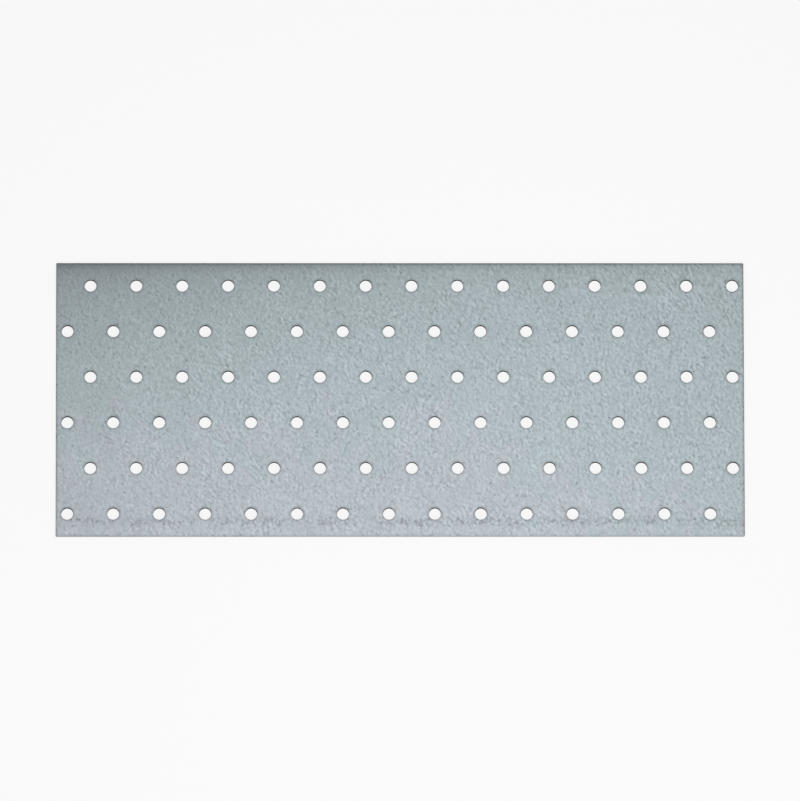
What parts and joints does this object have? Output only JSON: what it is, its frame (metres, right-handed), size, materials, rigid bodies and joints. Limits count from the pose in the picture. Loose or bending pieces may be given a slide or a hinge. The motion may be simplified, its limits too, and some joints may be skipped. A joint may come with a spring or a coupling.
{
  "type": "mending plate",
  "caption": "Flat rectangular galvanised steel plate with staggered rows of punched nail holes, for joining timbers face to face or end to end.",
  "frame": {"origin": "centre of the plate on its back face, the plane it rests on", "axes": "+X along the plate's long side, +Y across it, +Z out of the front face, the side the punch entered"},
  "size_m": [0.3, 0.12, 0.002],
  "materials": {
    "galvanised_steel": "satin"
  },
  "bodies": {
    "root": {"mending_plate": "galvanised_steel"}
  },
  "joints": []
}
